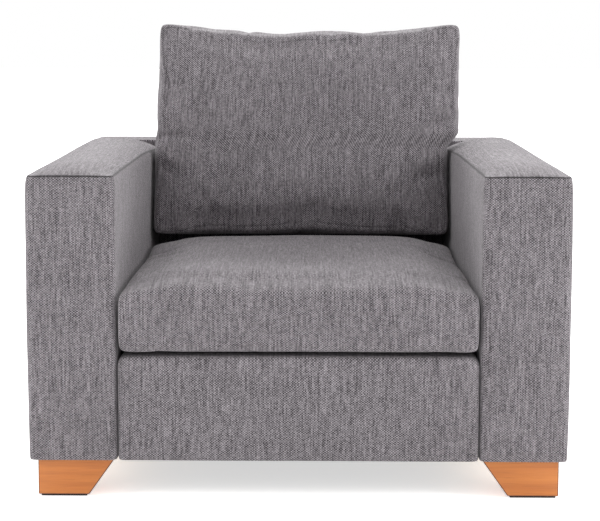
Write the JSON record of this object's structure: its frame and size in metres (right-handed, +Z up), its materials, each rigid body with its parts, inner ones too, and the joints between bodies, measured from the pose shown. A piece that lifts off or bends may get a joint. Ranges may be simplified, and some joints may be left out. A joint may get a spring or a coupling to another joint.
{
  "type": "upholstered armchair",
  "caption": "Boxy upholstered armchair with straight padded arms, a loose cushion to sit on, a loose back cushion and tapered wooden block feet.",
  "frame": {"origin": "on the floor under the middle of the chair", "axes": "+Z up, the chair faces -Y, and +X is to the right for someone who stands in front and looks at it"},
  "size_m": [1.06, 0.9, 0.9334],
  "materials": {
    "cover_cloth": "woven, matte",
    "lining": "non-woven, matte",
    "webbing": "woven, matte",
    "foam": "open-cell foam, matte",
    "timber": "sawn, unfinished",
    "hardboard": "matte",
    "foot_wood": "satin lacquer",
    "glide": "matte",
    "steel": "bright",
    "zip_metal": "satin",
    "zip_tape": "woven, matte"
  },
  "bodies": {
    "frame": {"arm_bottom_board_left": "timber", "arm_bottom_board_right": "timber", "arm_cover_left": "cover_cloth", "arm_cover_right": "cover_cloth", "arm_front_post_left": "timber", "arm_front_post_right": "timber", "arm_inner_panel_left": "hardboard", "arm_inner_panel_right": "hardboard", "arm_pad_left": "foam", "arm_pad_right": "foam", "arm_top_board_left": "timber", "arm_top_board_right": "timber", "back_bottom_rail": "timber", "back_cover": "cover_cloth", "back_post_left": "timber", "back_post_right": "timber", "back_stile_left": "timber", "back_stile_right": "timber", "back_strap_1": "webbing", "back_strap_2": "webbing", "back_strap_3": "webbing", "back_top_rail": "timber", "back_wedge": "foam", "deck_cloth": "lining", "foot_bolt_front_left": "steel", "foot_bolt_front_right": "steel", "foot_bolt_rear_left": "steel", "foot_bolt_rear_right": "steel", "foot_front_left": "foot_wood", "foot_front_right": "foot_wood", "foot_rear_left": "foot_wood", "foot_rear_right": "foot_wood", "front_rail": "timber", "front_rail_cover": "cover_cloth", "front_rail_pad": "foam", "glide_front_left": "glide", "glide_front_right": "glide", "glide_rear_left": "glide", "glide_rear_right": "glide", "inside_back_cover": "cover_cloth", "outside_back_panel": "cover_cloth", "rear_rail": "timber", "seat_spring_1": "steel", "seat_spring_2": "steel", "seat_spring_3": "steel", "seat_spring_4": "steel", "side_rail_left": "timber", "side_rail_right": "timber", "spring_pad": "foam", "underside_cloth": "lining"},
    "seat_cushion": {"seat_cushion_core": "foam", "seat_cushion_cover": "cover_cloth", "seat_cushion_zip_tape": "zip_tape"},
    "back_cushion": {"back_cushion_core": "foam", "back_cushion_cover": "cover_cloth", "back_cushion_zip_tape": "zip_tape"},
    "seat_zip_slider": {"seat_cushion_zip_slider": "zip_metal"},
    "back_zip_slider": {"back_cushion_zip_slider": "zip_metal"}
  },
  "joints": [
    {"name": "seat_cushion_pull", "type": "slide", "parent": "frame", "child": "seat_cushion", "axis": [0, -1, 0], "range_m": [0, 0.6]},
    {"name": "back_cushion_lift", "type": "slide", "parent": "frame", "child": "back_cushion", "axis": [0, 0, 1], "range_m": [0, 0.45]},
    {"name": "seat_zip_slide", "type": "slide", "parent": "seat_cushion", "child": "seat_zip_slider", "axis": [1, 0, 0], "range_m": [0, 0.496]},
    {"name": "back_zip_slide", "type": "slide", "parent": "back_cushion", "child": "back_zip_slider", "axis": [1, 0, 0], "range_m": [0, 0.436]}
  ]
}
